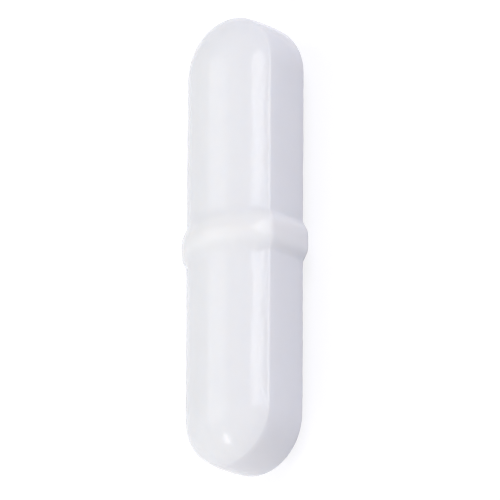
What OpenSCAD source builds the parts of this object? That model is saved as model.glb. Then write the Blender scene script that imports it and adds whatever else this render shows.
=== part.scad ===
// Magnetic stir bar: a PTFE jacket, pressed and sintered in one piece round a rod magnet.
// The bar lies along X on its pivot ring, with one crown up. The origin is under its middle,
// on the surface that it lies on.

/* [Bar] */
// Overall length
bar_l = 35; // [30:0.5:50]
// Width across the two flat side walls
bar_w = 8.1; // [7.5:0.1:10]
// Thickness from crown to crown
bar_t = 7.4; // [6.6:0.1:9]
// Height of the side wall between the two crowns, measured to the sharp edges
wall_h = 3.8; // [2:0.1:5]
// Rounding of the edge where a crown meets the wall
edge_r = 0.5; // [0.2:0.05:0.8]

/* [Pivot ring] */
// Height of the ring above the bar all the way round
ring_h = 0.4; // [0.2:0.05:1]
// Length of the ring's level crest along the bar
crest_l = 1.3; // [0.8:0.1:2.2]
// Length of the ring's foot along the bar
foot_l = 2.8; // [2.4:0.1:6]

/* [Magnet] */
// Diameter of the rod magnet
magnet_d = 5; // [3:0.1:6]
// Thickness of the jacket beyond each end of the magnet
end_wall = 3.5; // [1.5:0.1:8]
// Chamfer round both ends of the magnet
magnet_chamfer = 0.4; // [0.1:0.05:0.8]

/* [Hidden] */

$fn = 96;
crown_steps = 10;
edge_steps = 4;
flank_steps = 4;

half_w = bar_w / 2;
// Each crown is a cylinder along the bar that ends in a sphere of the same radius.
crown_rise = (bar_t - wall_h) / 2;
crown_r = (pow(half_w, 2) + pow(crown_rise, 2)) / (2 * crown_rise);
crown_z = bar_t / 2 - crown_r;
// The edge rounding touches the wall and the crown.
edge_y = half_w - edge_r;
edge_z = crown_z + sqrt(pow(crown_r - edge_r, 2) - pow(edge_y, 2));
edge_turn = acos(edge_y / (crown_r - edge_r));
// The half round ends are turned about these two points.
end_x = bar_l / 2 - half_w;
// The ring's foot is rooted in the bar to half the depth of the edge rounding.
ring_root = edge_r / 2;
axis_z = bar_t / 2 + ring_h;
magnet_l = bar_l - 2 * end_wall;

// A point on the cross-section: angle 0 faces the wall and 90 faces the crown.
// grow moves it outwards, square to the surface.
function edge_point(angle, grow) = [edge_y, edge_z] + (edge_r + grow) * [cos(angle), sin(angle)];
function crown_point(angle, grow) = [0, crown_z] + (crown_r + grow) * [cos(angle), sin(angle)];

// A quarter of the cross-section, from the wall to the middle of the crown
function quarter(grow) = concat(
    [for (i = [0:edge_steps - 1]) edge_point(edge_turn * i / edge_steps, grow)],
    [for (i = [0:crown_steps]) crown_point(edge_turn + (90 - edge_turn) * i / crown_steps, grow)]
);

// The same points in the opposite order, on another side of the axes
function flip(points, y_sign, z_sign) =
    [for (i = [len(points) - 1:-1:0]) [y_sign * points[i].x, z_sign * points[i].y]];

module half_section() {
    polygon(concat(quarter(0), flip(quarter(0), 1, -1)));
}

module section(grow = 0) {
    half = concat(quarter(grow), flip(quarter(grow), 1, -1));
    polygon(half);
    mirror([1, 0]) polygon(half);
}

// A length of the cross-section along X, across the middle of the bar
module slab(length, grow = 0) {
    rotate([90, 0, 90]) linear_extrude(length, center = true) section(grow);
}

module bar_end() {
    translate([end_x, 0, 0]) rotate([0, 0, -90]) rotate_extrude(angle = 180) half_section();
}

// The ring follows the cross-section and has rounded flanks.
module pivot_ring() {
    hull() {
        slab(foot_l, -ring_root);
        for (i = [0:flank_steps]) {
            turn = 90 * i / flank_steps;
            slab(crest_l + (foot_l - crest_l) * cos(turn), ring_h * sin(turn));
        }
    }
}

// The magnet and the cavity that the jacket is moulded to are the same form.
module magnet_rod() {
    r = magnet_d / 2;
    rotate([0, 90, 0])
        for (end = [0, 1])
            mirror([0, 0, end])
                rotate_extrude()
                    polygon([
                        [0, 0],
                        [r, 0],
                        [r, magnet_l / 2 - magnet_chamfer],
                        [r - magnet_chamfer, magnet_l / 2],
                        [0, magnet_l / 2]
                    ]);
}

module jacket() {
    color("white") translate([0, 0, axis_z])
        difference() {
            union() {
                slab(2 * end_x);
                bar_end();
                mirror([1, 0, 0]) bar_end();
                pivot_ring();
            }
            magnet_rod();
        }
}

module magnet() {
    color("dimgray") translate([0, 0, axis_z]) magnet_rod();
}

jacket();
magnet();
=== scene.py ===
"""Looks for a magnetic stir bar: a white PTFE jacket with a pivot ring, sealed round a rod magnet.

The bar lies along X on its pivot ring. Sizes are in metres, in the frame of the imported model.
"""

import math

import bmesh
import bpy
from bpy.props import FloatProperty, FloatVectorProperty, PointerProperty
from mathutils import Matrix, Vector, noise


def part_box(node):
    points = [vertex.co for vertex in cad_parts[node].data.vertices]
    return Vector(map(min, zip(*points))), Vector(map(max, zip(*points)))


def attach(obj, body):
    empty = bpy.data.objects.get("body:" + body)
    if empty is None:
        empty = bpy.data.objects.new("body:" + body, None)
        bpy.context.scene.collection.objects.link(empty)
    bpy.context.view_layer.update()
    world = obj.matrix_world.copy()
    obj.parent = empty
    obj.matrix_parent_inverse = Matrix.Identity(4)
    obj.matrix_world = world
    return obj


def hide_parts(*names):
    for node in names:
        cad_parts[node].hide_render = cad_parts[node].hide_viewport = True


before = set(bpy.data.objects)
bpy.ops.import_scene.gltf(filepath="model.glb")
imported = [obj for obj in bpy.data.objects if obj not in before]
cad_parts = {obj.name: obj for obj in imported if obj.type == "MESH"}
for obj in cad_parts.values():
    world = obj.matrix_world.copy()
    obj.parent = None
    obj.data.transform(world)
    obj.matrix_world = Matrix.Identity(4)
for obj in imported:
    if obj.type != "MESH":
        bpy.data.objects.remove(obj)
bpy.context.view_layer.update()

bl_info = {
    "name": "Stir Bar",
    "version": (1, 0, 0),
    "blender": (4, 5, 0),
    "location": "View3D > Sidebar > Stir Bar",
    "description": "Dresses a magnetic stir bar and sets its stage",
    "category": "Object",
}

MM = 0.001
JACKET_LOW, JACKET_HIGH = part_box("jacket")
MAGNET_LOW, MAGNET_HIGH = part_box("magnet")
MIDDLE = (JACKET_LOW + JACKET_HIGH) / 2
RING_HEIGHT = 0.4 * MM


def linear(code, alpha=None):
    """A colour from its sRGB hex code, in the linear values that the shaders take."""
    parts = [int(code[i : i + 2], 16) / 255 for i in (0, 2, 4)]
    parts = [p / 12.92 if p <= 0.04045 else ((p + 0.055) / 1.055) ** 2.4 for p in parts]
    return tuple(parts) if alpha is None else (*parts, alpha)


# ---------------------------------------------------------------- sizes and colours


def length(name, about, default):
    return FloatProperty(
        name=name, description=about, default=default, min=0, unit="LENGTH", precision=5
    )


def angle(name, about, degrees):
    return FloatProperty(
        name=name, description=about, default=math.radians(degrees), unit="ROTATION"
    )


def colour(name, about, code):
    return FloatVectorProperty(
        name=name, description=about, default=linear(code), subtype="COLOR", min=0, max=1
    )


class StirBarJacket(bpy.types.PropertyGroup):
    length: length("Length", "Length of the bar", JACKET_HIGH.x - JACKET_LOW.x)
    width: length(
        "Width", "Width across the side walls", JACKET_HIGH.y - JACKET_LOW.y - 2 * RING_HEIGHT
    )
    thickness: length(
        "Thickness", "Thickness from crown to crown", JACKET_HIGH.z - JACKET_LOW.z - 2 * RING_HEIGHT
    )
    wall_height: length("Wall height", "Height of the side wall between the crowns", 3.8 * MM)
    wall_bulge: length("Wall bulge", "How far the side wall's middle stands out", 0.1 * MM)
    edge_radius: length("Edge radius", "Rounding between a crown and the side wall", 0.3 * MM)
    end_radius: length("End radius", "Rounding of the same edges where they turn the ends", 0.9 * MM)
    ring_height: length("Ring height", "Height of the pivot ring above the bar", RING_HEIGHT)
    ring_foot: length("Ring foot", "Length of the ring's foot", 3.4 * MM)
    ring_spread: length("Ring spread", "How much further each flank runs on the crowns", 0.45 * MM)
    ring_fade: length("Ring fade", "Width of crown over which the ring grows fuller", 1.2 * MM)
    flash_height: length("Flash height", "Height of the mould line along the edges", 0.017 * MM)
    flash_width: length("Flash width", "Width of each flank of the mould line", 0.13 * MM)
    trim_depth: length("Trim depth", "How far the crown sinks towards the mould line", 0.022 * MM)
    trim_width: length("Trim width", "Width of the sunken strip along the mould line", 0.54 * MM)
    trim_height: length("Trim height", "Unevenness of the crown beside the strip", 0.02 * MM)
    streak_width: length("Streak width", "Width of the streaks beside the mould line", 0.7 * MM)
    fine_width: length("Fine width", "Width of the finer streaks among them", 0.25 * MM)
    wave_height: length("Wave height", "Unevenness left by sintering", 0.012 * MM)
    wave_length: length("Wave length", "Distance between the uneven places", 2.6 * MM)
    scatter: length("Scatter", "How far light travels within the PTFE", 0.6 * MM)
    # the ring's whiter band is set this far off the middle towards +X, as a painted highlight
    highlight_shift: length("Thick shift", "How far the whiter skin lies off the middle", 0.2 * MM)
    white: colour("White", "Colour of the moulded PTFE", "F3F4F6")
    shade: colour("Shade", "Colour of the denser specks of PTFE", "EFF0F3")
    # the ring's colour is partly thicker PTFE over the magnet and partly a painted highlight on its
    # crest
    thick_and_highlight: colour("Thick", "Colour of the ring, where the PTFE is thicker over the magnet", "F6F8FD")


class StirBarMagnet(bpy.types.PropertyGroup):
    diameter: length("Diameter", "Diameter of the magnet", MAGNET_HIGH.z - MAGNET_LOW.z)
    length: length("Length", "Length of the magnet", MAGNET_HIGH.x - MAGNET_LOW.x)
    chamfer: length("Chamfer", "Chamfer round the magnet's ends", 0.4 * MM)
    metal: colour("Metal", "Colour of the ground AlNiCo", "8C8D91")
    scale: colour("Scale", "Colour of the cast skin", "55565A")


class StirBarStage(bpy.types.PropertyGroup):
    turn: angle("Turn", "Turn of the camera round the bar, from straight above", 40.08)
    lean: angle("Lean", "Lean of the camera along the bar", 18.39)
    roll: angle("Roll", "Roll of the picture", -0.265)
    distance: length("Distance", "Distance from the camera to the bar", 750 * MM)
    field: length("Field", "Height of the picture at the bar", 37.33 * MM)
    aim_right: length("Aim right", "How far right of the bar the picture's middle is", 0.386 * MM)
    aim_down: length("Aim down", "How far below the bar's middle the picture's is", 0.3 * MM)
    floor: colour("Floor", "Colour of the floor", "ADADBA")
    sky: colour("Surroundings", "Colour of the light from the room", "FFFFFF")


# ---------------------------------------------------------------- materials


def add_node(tree, kind, inputs=None, links=None, **settings):
    """Adds a node, sets its settings and sockets, and links sockets to other nodes' outputs."""
    node = tree.nodes.new(kind)
    for key, value in settings.items():
        setattr(node, key, value)
    for key, value in (inputs or {}).items():
        node.inputs[key].default_value = value
    for key, output in (links or {}).items():
        tree.links.new(output, node.inputs[key])
    return node


def new_material(name):
    material = bpy.data.materials.new(name)
    material.use_nodes = True
    material.node_tree.nodes.clear()
    return material, material.node_tree


def ptfe_moulded(jacket):
    """White PTFE, pressed from powder and sintered: a soft gloss over a milky body.

    The ring looks a shade whiter than the bar: partly as it hides the dark magnet a little better,
    partly from a painted highlight set off its middle towards +X.
    """
    material, tree = new_material("ptfe_moulded")
    place = add_node(tree, "ShaderNodeTexCoord").outputs["Object"]
    clouds = add_node(
        tree,
        "ShaderNodeTexNoise",
        {"Scale": 1 / (1.6 * MM), "Detail": 3, "Roughness": 0.55},
        {"Vector": place},
    )
    grain = add_node(
        tree, "ShaderNodeTexNoise", {"Scale": 1 / (0.16 * MM), "Detail": 2}, {"Vector": place}
    )
    body = add_node(
        tree,
        "ShaderNodeMix",
        {"A": (*jacket.white, 1), "B": (*jacket.shade, 1)},
        {"Factor": clouds.outputs["Fac"]},
        data_type="RGBA",
    )
    # painted highlight and thicker PTFE: whiter from the ring's flanks to its crest, centred a little
    # towards +X
    flank, crest = 0.4 * jacket.ring_foot, 0.15 * jacket.ring_foot
    sides = add_node(tree, "ShaderNodeSeparateXYZ", links={"Vector": place})
    from_middle = add_node(
        tree,
        "ShaderNodeMath",
        {1: MIDDLE.x + jacket.highlight_shift},
        {0: sides.outputs["X"]},
        operation="SUBTRACT",
    )
    apart = add_node(
        tree, "ShaderNodeMath", links={0: from_middle.outputs[0]}, operation="ABSOLUTE"
    )
    on_ring = add_node(
        tree,
        "ShaderNodeMapRange",
        {"From Min": flank, "From Max": crest},
        {"Value": apart.outputs[0]},
        interpolation_type="SMOOTHSTEP",
    )
    # mixes in the ring's whiter colour: partly thicker PTFE, partly painted highlight
    body = add_node(
        tree,
        "ShaderNodeMix",
        {"B": (*jacket.thick_and_highlight, 1)},
        {"Factor": on_ring.outputs["Result"], "A": body.outputs["Result"]},
        data_type="RGBA",
    )
    gloss = add_node(
        tree,
        "ShaderNodeMapRange",
        {"To Min": 0.09, "To Max": 0.16},
        {"Value": clouds.outputs["Fac"]},
    )
    bump = add_node(
        tree,
        "ShaderNodeBump",
        {"Strength": 0.25, "Distance": 0.004 * MM},
        {"Height": grain.outputs["Fac"]},
    )
    shader = add_node(
        tree,
        "ShaderNodeBsdfPrincipled",
        {
            "IOR": 1.36,
            "Subsurface Weight": 1.0,
            "Subsurface Radius": (1.0, 0.95, 0.9),
            "Subsurface Scale": jacket.scatter,
        },
        {
            "Base Color": body.outputs["Result"],
            "Roughness": gloss.outputs["Result"],
            "Normal": bump.outputs["Normal"],
        },
    )
    add_node(tree, "ShaderNodeOutputMaterial", links={"Surface": shader.outputs["BSDF"]})
    return material


def alnico_ground(magnet):
    """AlNiCo, cast and ground round: dull grey metal with fine rings and darker cast pits."""
    material, tree = new_material("alnico_ground")
    place = add_node(tree, "ShaderNodeTexCoord").outputs["Object"]
    pits = add_node(
        tree,
        "ShaderNodeTexNoise",
        {"Scale": 1 / (0.7 * MM), "Detail": 4, "Roughness": 0.7},
        {"Vector": place},
    )
    rings = add_node(
        tree,
        "ShaderNodeTexWave",
        {"Scale": 1 / (1.2 * MM), "Distortion": 1.5, "Detail": 2},
        {"Vector": place},
        bands_direction="X",
    )
    tone = add_node(
        tree,
        "ShaderNodeMix",
        {"A": (*magnet.metal, 1), "B": (*magnet.scale, 1)},
        {"Factor": pits.outputs["Fac"]},
        data_type="RGBA",
    )
    bump = add_node(
        tree,
        "ShaderNodeBump",
        {"Strength": 0.4, "Distance": 0.01 * MM},
        {"Height": rings.outputs["Fac"]},
    )
    shader = add_node(
        tree,
        "ShaderNodeBsdfPrincipled",
        {"Metallic": 1.0, "Roughness": 0.42},
        {"Base Color": tone.outputs["Result"], "Normal": bump.outputs["Normal"]},
    )
    add_node(tree, "ShaderNodeOutputMaterial", links={"Surface": shader.outputs["BSDF"]})
    return material


# ---------------------------------------------------------------- the jacket's form

# where the mould line runs, as a share of the edge from the crown to the wall
FLASH_PLACE = 0.4
# rows of the mesh across a quarter of the section
FINE_STRIP = 0.7 * MM
CROWN_ROWS = 20
STRIP_ROWS = 16
FLASH_ROWS = 14
WALL_ROWS = 10
WALL_CROWDING = 1.4
# rows of the mesh along half of a straight side, half of the ring and one end
SIDE_STEPS = 90
RING_STEPS = 24
END_STEPS = 64
MAGNET_STEPS = 96
# how long the streaks beside the mould line are for their width, and how strong
STREAK_STRETCH = 2
STREAK_GAIN = 1.1
# how much the strip's width, its depth and the mould line's height follow the streaks
WIDTH_FOLLOWS = 0.5
DEPTH_FOLLOWS = 0.8
FLASH_FOLLOWS = 0.7
# how much fades on the ring's crest and on the ends
RING_FADES = 0.8
END_FADES = 0.6
# middle and spread of the uneven skin beside the strip, in widths of the strip
BESIDE_MIDDLE = 1.6
BESIDE_SPREAD = 0.9


class Section:
    """Half of the jacket's cross-section, from the top of one crown round to the other.

    Places along it are lengths from the top. The crown is an arc about a point on the middle
    plane, so the bar's ends are parts of a sphere.
    """

    def __init__(self, jacket, edge_radius):
        corner = jacket.width / 2
        rise = (jacket.thickness - jacket.wall_height) / 2
        self.radius = (corner**2 + rise**2) / (2 * rise)
        self.centre = jacket.thickness / 2 - self.radius
        self.edge_radius = edge_radius
        # the wall is a faint arc through the corner, and its middle stands out by the bulge
        chord = jacket.wall_height / 2
        self.wall_radius = (chord**2 + jacket.wall_bulge**2) / (2 * jacket.wall_bulge)
        self.wall_centre = corner + jacket.wall_bulge - self.wall_radius
        # the edge's centre is where circles inside the crown and the wall cross
        crown_reach = self.radius - self.edge_radius
        wall_reach = self.wall_radius - self.edge_radius
        gap = math.hypot(self.wall_centre, self.centre)
        ahead = (crown_reach**2 - wall_reach**2 + gap**2) / (2 * gap)
        aside = math.sqrt(crown_reach**2 - ahead**2)
        out, up = self.wall_centre / gap, -self.centre / gap
        self.edge_out = out * ahead + up * aside
        self.edge_up = self.centre + up * ahead - out * aside
        self.edge_turn = math.atan2(self.edge_up - self.centre, self.edge_out)
        self.wall_turn = math.atan2(self.edge_up, self.edge_out - self.wall_centre)
        self.crown_length = self.radius * (math.pi / 2 - self.edge_turn)
        self.edge_length = self.edge_radius * (self.edge_turn - self.wall_turn)
        self.quarter = self.crown_length + self.edge_length + self.wall_radius * self.wall_turn
        self.flash = self.crown_length + FLASH_PLACE * self.edge_length

    def at(self, along):
        """The point on the section and the direction square to it, both as (out, up)."""
        if along > self.quarter:
            (out, up), (side, rise) = self.at(2 * self.quarter - along)
            return (out, -up), (side, -rise)
        past = along - self.crown_length
        if past <= 0:
            turn = math.pi / 2 - along / self.radius
            start, radius = (0, self.centre), self.radius
        elif past <= self.edge_length:
            turn = self.edge_turn - past / self.edge_radius
            start, radius = (self.edge_out, self.edge_up), self.edge_radius
        else:
            turn = (self.quarter - along) / self.wall_radius
            start, radius = (self.wall_centre, 0), self.wall_radius
        side, rise = math.cos(turn), math.sin(turn)
        return (start[0] + radius * side, start[1] + radius * rise), (side, rise)

    def places(self, flash_width):
        """Where the mesh has its rows, closest together over the mould line."""
        first, last = self.flash - 1.5 * flash_width, self.flash + flash_width
        strip, wall = first - FINE_STRIP, self.quarter - last
        quarter = [strip * i / CROWN_ROWS for i in range(CROWN_ROWS)]
        quarter += [strip + FINE_STRIP * i / STRIP_ROWS for i in range(STRIP_ROWS)]
        quarter += [first + (last - first) * i / FLASH_ROWS for i in range(FLASH_ROWS)]
        shares = [i / (WALL_ROWS - 1) for i in range(WALL_ROWS)]
        quarter += [last + wall * share**WALL_CROWDING for share in shares]
        return quarter + [2 * self.quarter - a for a in reversed(quarter[:-1])]


def ring_rise(jacket, section, x, along):
    """Height of the pivot ring at x: long and round on the crowns, full at edges and walls."""
    inward = section.crown_length - min(along, 2 * section.quarter - along)
    full = 1 - min(max(inward / jacket.ring_fade, 0), 1)
    half = jacket.ring_foot / 2 + (1 - full) * jacket.ring_spread
    share = min(abs(x) / half, 1)
    return jacket.ring_height * (1 - share ** (2 + 2 * full)) ** 3


def skin_rise(jacket, section, point, along, on_ring, on_end):
    """How far the moulded skin stands out from the plain section at a point.

    The crown sinks a little along a strip, then climbs to the mould line at the edge. The strip
    fades out on the ring's crest, where on_ring is 1, and both do on the ends, where on_end is 1.
    """
    past = min(along, 2 * section.quarter - along) - section.flash
    streak = Vector((point.x / STREAK_STRETCH, point.y, point.z))
    uneven = noise.noise(streak / jacket.streak_width) + noise.noise(streak / jacket.fine_width)
    uneven *= STREAK_GAIN
    limited = max(uneven, -1)
    width = jacket.trim_width * (1 + WIDTH_FOLLOWS * limited)
    share = max(1 + past / width, 0)
    climb = max(1 + past / jacket.flash_width, 0)
    if past < 0:
        climb = climb * climb * (3 - 2 * climb)
        sunk = jacket.trim_depth * share * (2 - share) * (1 - climb)
        sunk *= (1 - RING_FADES * on_ring) * (1 - END_FADES * on_end)
        sunk *= 1 + DEPTH_FOLLOWS * limited
    else:
        climb = math.exp(-((past / jacket.flash_width) ** 2))
        sunk = 0
    beside = math.exp(-(((past / jacket.trim_width + BESIDE_MIDDLE) / BESIDE_SPREAD) ** 2))
    return (
        jacket.flash_height * (1 + FLASH_FOLLOWS * uneven) * climb * (1 - END_FADES * on_end)
        - sunk
        + jacket.trim_height * uneven * beside
        + jacket.wave_height * noise.noise(point / jacket.wave_length)
    )


def jacket_mesh(jacket):
    """The jacket's skin, as closed rows that run round the bar from one crown to the other."""
    section, rounder = Section(jacket, jacket.edge_radius), Section(jacket, jacket.end_radius)
    places = section.places(jacket.flash_width)
    end = jacket.length / 2 - jacket.width / 2
    ring_end = jacket.ring_foot / 2 + jacket.ring_spread
    # (x of the turning centre, direction round the bar) of each row of the mesh
    outer = [ring_end + (end - ring_end) * i / SIDE_STEPS for i in range(SIDE_STEPS + 1)]
    inner = [ring_end * i / RING_STEPS for i in range(1 - RING_STEPS, RING_STEPS)]
    run = [-x for x in reversed(outer)] + inner + outer
    turns = [math.pi * i / END_STEPS for i in range(1, END_STEPS)]
    rows = [(x, math.pi / 2) for x in run] + [(end, math.pi / 2 - a) for a in turns]
    rows += [(-x, -math.pi / 2) for x in run] + [(-end, -math.pi / 2 - a) for a in turns]

    mesh = bmesh.new()
    grid = []
    for x, way in rows:
        row = []
        # 0 on the straight sides, 1 once the row has turned 30 degrees round an end
        on_end = min(2 * abs(math.cos(way)), 1)
        for along in places:
            form = Vector((*section.at(along)[0], *section.at(along)[1]))
            round_form = rounder.at(along * rounder.quarter / section.quarter)
            form = form.lerp(Vector((*round_form[0], *round_form[1])), on_end)
            out, up, side, rise = form
            point = Vector((x + out * math.cos(way), out * math.sin(way), up))
            square = Vector((side * math.cos(way), side * math.sin(way), rise)).normalized()
            swell = ring_rise(jacket, section, x, along)
            skin = skin_rise(jacket, section, point, along, swell / jacket.ring_height, on_end)
            row.append(mesh.verts.new(point + square * (swell + skin)))
        grid.append(row)
    for row, after in zip(grid, grid[1:] + grid[:1]):
        for i in range(len(places) - 1):
            mesh.faces.new((row[i], after[i], after[i + 1], row[i + 1]))
    bmesh.ops.remove_doubles(mesh, verts=mesh.verts, dist=0.0005 * MM)
    mesh.normal_update()
    return mesh


def add_cavity(mesh, magnet):
    """The sealed hollow that the jacket is moulded to, as an inner wall that faces inwards."""
    radius, end, chamfer = magnet.diameter / 2, magnet.length / 2, magnet.chamfer
    outline = [(-end, radius - chamfer), (-end + chamfer, radius)]
    outline += [(-x, r) for x, r in reversed(outline)]
    turns = [2 * math.pi * i / MAGNET_STEPS for i in range(MAGNET_STEPS)]
    rings = []
    for x, r in outline:
        rings.append([mesh.verts.new((x, r * math.cos(a), r * math.sin(a))) for a in turns])
    for ring, after in zip(rings, rings[1:]):
        for i in range(MAGNET_STEPS):
            j = (i + 1) % MAGNET_STEPS
            mesh.faces.new((ring[i], after[i], after[j], ring[j]))
    mesh.faces.new(rings[0])
    mesh.faces.new(reversed(rings[-1]))


class STIRBAR_OT_jacket(bpy.types.Operator):
    """Builds the moulded jacket with its crowns, walls, pivot ring and mould lines"""

    bl_idname = "stirbar.jacket"
    bl_label = "Jacket"

    def execute(self, context):
        jacket, magnet = context.scene.stir_bar_jacket, context.scene.stir_bar_magnet
        mesh = jacket_mesh(jacket)
        add_cavity(mesh, magnet)
        bmesh.ops.translate(mesh, verts=mesh.verts, vec=MIDDLE)
        data = bpy.data.meshes.new("ptfe_jacket")
        mesh.to_mesh(data)
        mesh.free()
        data.shade_smooth()
        data.set_sharp_from_angle(angle=math.radians(40))
        data.materials.append(ptfe_moulded(jacket))
        piece = bpy.data.objects.new("ptfe_jacket", data)
        context.scene.collection.objects.link(piece)
        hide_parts("jacket")
        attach(piece, "root")
        return {"FINISHED"}


class STIRBAR_OT_magnet(bpy.types.Operator):
    """Gives the sealed magnet its ground metal"""

    bl_idname = "stirbar.magnet"
    bl_label = "Magnet"

    def execute(self, context):
        metal = alnico_ground(context.scene.stir_bar_magnet)
        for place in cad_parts["magnet"].material_slots:
            place.link = "OBJECT"
            place.material = metal
        return {"FINISHED"}


# ---------------------------------------------------------------- the stage


# light from the room's sides: degrees round from +X and above the floor, colour, strength
ROOM_SIDES = (
    (90, 10, "F9FCFF", 1.04),
    (180, 10, "FFFDFD", 1.83),
    (315, 10, "F6F5FE", 1.83),
)
# how fast the light from a side fades outwards, and the light from all sides
SIDE_FADE = 3.0
ROOM_LIGHT = 0.045
# soft boxes: name, degrees round the bar and along it, sides in metres, brightness
LAMPS = (
    ("top_box", -32, 10, (0.32, 0.36), 1.07),
    ("side_box", 39, 19, (0.25, 0.245), 2.75),
    ("side_rim", 35, 19, (0.25, 0.32), 0.25),
    ("end_box", -23, -31.5, (0.13, 0.13), 4.8),
)
LAMP_DISTANCE = 0.6
# watts for each square metre at which a soft box looks white
WHITE_POWER = 4
# how far the floor is lifted towards white where it is seen, and half its side in metres
FLOOR_LIFT = 0.72
FLOOR_REACH = 3.0


def add_camera(context, stage):
    """A long lens that looks down across a crown and a side wall."""
    turn, lean, roll = stage.turn, stage.lean, stage.roll
    back = Vector(
        (-math.sin(lean), -math.cos(lean) * math.sin(turn), math.cos(lean) * math.cos(turn))
    )
    right = Vector((0, -math.cos(turn), -math.sin(turn)))
    up = back.cross(right)
    right, up = (
        right * math.cos(roll) - up * math.sin(roll),
        right * math.sin(roll) + up * math.cos(roll),
    )
    target = MIDDLE + right * stage.aim_right - up * stage.aim_down
    data = bpy.data.cameras.new("camera")
    data.lens = data.sensor_width * stage.distance / stage.field
    data.clip_start, data.clip_end = 0.01, 20
    camera = bpy.data.objects.new("camera", data)
    axes = Matrix((right, up, back)).transposed()
    camera.matrix_world = Matrix.Translation(target + back * stage.distance) @ axes.to_4x4()
    context.scene.collection.objects.link(camera)
    context.scene.camera = camera


def add_lamp(context, name, turn, lean, size, glow):
    """A soft box that faces the bar, turned from straight above it as the camera is.

    Its first side lies along the bar. glow is its brightness, where 1 looks white.
    """
    data = bpy.data.lights.new(name, "AREA")
    data.shape = "RECTANGLE"
    data.size, data.size_y = size
    data.energy = glow * WHITE_POWER * size[0] * size[1]
    lamp = bpy.data.objects.new(name, data)
    turn, lean = math.radians(turn), math.radians(lean)
    way = Vector(
        (math.sin(lean), -math.cos(lean) * math.sin(turn), math.cos(lean) * math.cos(turn))
    )
    across = way.cross(Vector((1, 0, 0))).normalized()
    axes = Matrix((across.cross(way), across, way)).transposed()
    lamp.matrix_world = Matrix.Translation(MIDDLE + way * LAMP_DISTANCE) @ axes.to_4x4()
    context.scene.collection.objects.link(lamp)


def seen_directly(tree):
    """1 for rays from the camera, off a glossy surface or through a clear one, else 0."""
    path = add_node(tree, "ShaderNodeLightPath")
    seen = path.outputs["Is Camera Ray"]
    for kind in ("Is Glossy Ray", "Is Transmission Ray"):
        links = {0: seen, 1: path.outputs[kind]}
        seen = add_node(tree, "ShaderNodeMath", links=links, operation="MAXIMUM").outputs["Value"]
    return seen


def floor_white(stage):
    """Matt white card: it shows white, and keeps the bar's soft shadow."""
    material, tree = new_material("card_matt")
    card = add_node(tree, "ShaderNodeBsdfDiffuse", {"Color": (*stage.floor, 1)})
    lift = add_node(tree, "ShaderNodeEmission", {"Color": linear("FFFFFA", 1), "Strength": FLOOR_LIFT})
    lit = add_node(tree, "ShaderNodeAddShader", links={0: card.outputs[0], 1: lift.outputs[0]})
    shown = add_node(
        tree,
        "ShaderNodeMixShader",
        links={"Fac": seen_directly(tree), 1: card.outputs[0], 2: lit.outputs[0]},
    )
    add_node(tree, "ShaderNodeOutputMaterial", links={"Surface": shown.outputs[0]})
    return material


def add_floor(context, stage):
    mesh = bmesh.new()
    bmesh.ops.create_grid(mesh, x_segments=8, y_segments=8, size=FLOOR_REACH)
    data = bpy.data.meshes.new("floor")
    mesh.to_mesh(data)
    mesh.free()
    data.materials.append(floor_white(stage))
    floor = bpy.data.objects.new("floor", data)
    context.scene.collection.objects.link(floor)


def add_side(tree, around, above, code, strength):
    """Light from one side of the room, around from +X and above the floor, that fades outwards."""
    around, above = math.radians(around), math.radians(above)
    way = (
        math.cos(above) * math.cos(around),
        math.cos(above) * math.sin(around),
        math.sin(above),
    )
    place = add_node(tree, "ShaderNodeTexCoord").outputs["Generated"]
    share = add_node(
        tree, "ShaderNodeVectorMath", {1: way}, {0: place}, operation="DOT_PRODUCT"
    ).outputs["Value"]
    ahead = add_node(tree, "ShaderNodeMath", {1: 0.0}, {0: share}, operation="MAXIMUM").outputs[0]
    soft = add_node(tree, "ShaderNodeMath", {1: SIDE_FADE}, {0: ahead}, operation="POWER").outputs[0]
    glow = add_node(tree, "ShaderNodeMath", {1: strength}, {0: soft}, operation="MULTIPLY")
    return add_node(
        tree, "ShaderNodeBackground", {"Color": linear(code, 1)}, {"Strength": glow.outputs[0]}
    ).outputs[0]


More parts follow.
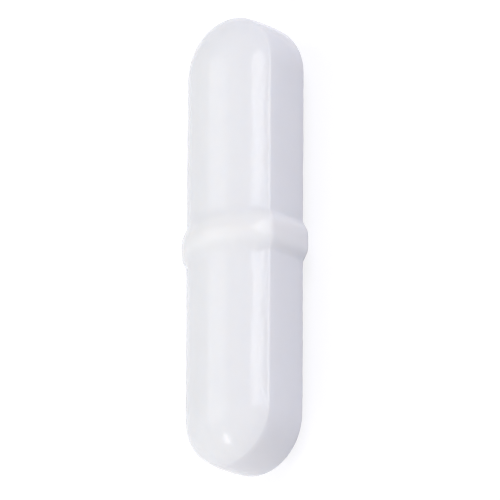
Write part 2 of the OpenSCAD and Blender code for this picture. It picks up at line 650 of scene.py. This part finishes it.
def set_world(context, stage):
    """White where it is seen, and a dimmer light from the room on all else."""
    world = bpy.data.worlds.new("studio")
    world.use_nodes = True
    tree = world.node_tree
    tree.nodes.clear()
    room = add_node(
        tree, "ShaderNodeBackground", {"Color": (*stage.sky, 1), "Strength": ROOM_LIGHT}
    ).outputs[0]
    for side in ROOM_SIDES:
        room = add_node(
            tree, "ShaderNodeAddShader", links={0: room, 1: add_side(tree, *side)}
        ).outputs[0]
    white = add_node(tree, "ShaderNodeBackground", {"Color": (1, 1, 1, 1), "Strength": 1.0})
    shown = add_node(
        tree,
        "ShaderNodeMixShader",
        links={"Fac": seen_directly(tree), 1: room, 2: white.outputs[0]},
    )
    add_node(tree, "ShaderNodeOutputWorld", links={"Surface": shown.outputs[0]})
    context.scene.world = world


class STIRBAR_OT_stage(bpy.types.Operator):
    """Sets the camera, the white floor, the soft boxes and the surroundings"""

    bl_idname = "stirbar.stage"
    bl_label = "Stage"

    def execute(self, context):
        stage = context.scene.stir_bar_stage
        context.scene.view_settings.view_transform = "Standard"
        add_camera(context, stage)
        add_floor(context, stage)
        set_world(context, stage)
        for lamp in LAMPS:
            add_lamp(context, *lamp)
        return {"FINISHED"}


# ---------------------------------------------------------------- panel and run


class STIRBAR_PT_panel(bpy.types.Panel):
    bl_label = "Stir Bar"
    bl_idname = "STIRBAR_PT_panel"
    bl_space_type = "VIEW_3D"
    bl_region_type = "UI"
    bl_category = "Stir Bar"

    def draw(self, context):
        for name, group in GROUPS.items():
            values = getattr(context.scene, name)
            box = self.layout.box()
            for key in group.__annotations__:
                box.prop(values, key)
        for operator in OPERATORS:
            self.layout.operator(operator.bl_idname)


GROUPS = {
    "stir_bar_jacket": StirBarJacket,
    "stir_bar_magnet": StirBarMagnet,
    "stir_bar_stage": StirBarStage,
}
OPERATORS = (STIRBAR_OT_stage, STIRBAR_OT_jacket, STIRBAR_OT_magnet)
CLASSES = (*GROUPS.values(), *OPERATORS, STIRBAR_PT_panel)


def register():
    for item in CLASSES:
        bpy.utils.register_class(item)
    for name, group in GROUPS.items():
        setattr(bpy.types.Scene, name, PointerProperty(type=group))


def unregister():
    for name in GROUPS:
        delattr(bpy.types.Scene, name)
    for item in reversed(CLASSES):
        bpy.utils.unregister_class(item)


def main():
    register()
    bpy.ops.stirbar.stage()
    bpy.ops.stirbar.jacket()
    bpy.ops.stirbar.magnet()


if __name__ == "__main__":
    main()
